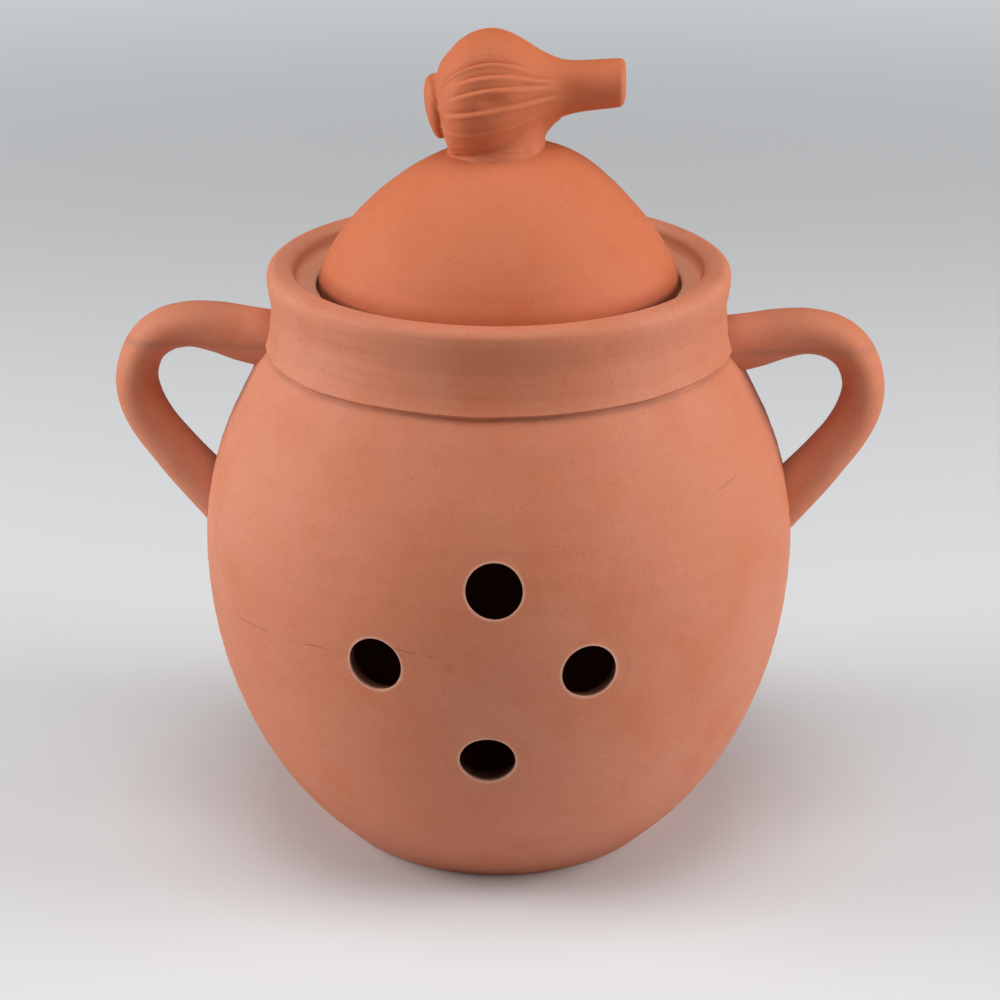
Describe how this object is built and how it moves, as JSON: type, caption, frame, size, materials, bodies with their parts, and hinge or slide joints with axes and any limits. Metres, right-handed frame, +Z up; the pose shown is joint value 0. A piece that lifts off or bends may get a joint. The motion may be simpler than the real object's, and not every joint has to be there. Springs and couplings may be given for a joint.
{
  "type": "garlic keeper",
  "caption": "Round terracotta garlic keeper with ear handles, vent holes in front, and a lift-off domed lid with a garlic bulb knob",
  "frame": {"origin": "on the table under the middle of the pot's foot", "axes": "+Z up, -Y is the front with the vent holes, the handles reach along X and the knob's neck points to +X"},
  "size_m": [0.1652, 0.1274, 0.176],
  "materials": {
    "pot_clay": "unglazed matte terracotta",
    "lid_clay": "unglazed matte terracotta",
    "knob_clay": "unglazed matte terracotta"
  },
  "bodies": {
    "pot": {"pot_body": "pot_clay", "pot_collar": "pot_clay", "handle_left": "pot_clay", "handle_right": "pot_clay"},
    "lid": {"lid": "lid_clay", "garlic_knob": "knob_clay"}
  },
  "joints": [
    {"name": "lid_lift", "type": "slide", "parent": "pot", "child": "lid", "axis": [0, 0, 1], "range_m": [0, 0.06]}
  ]
}
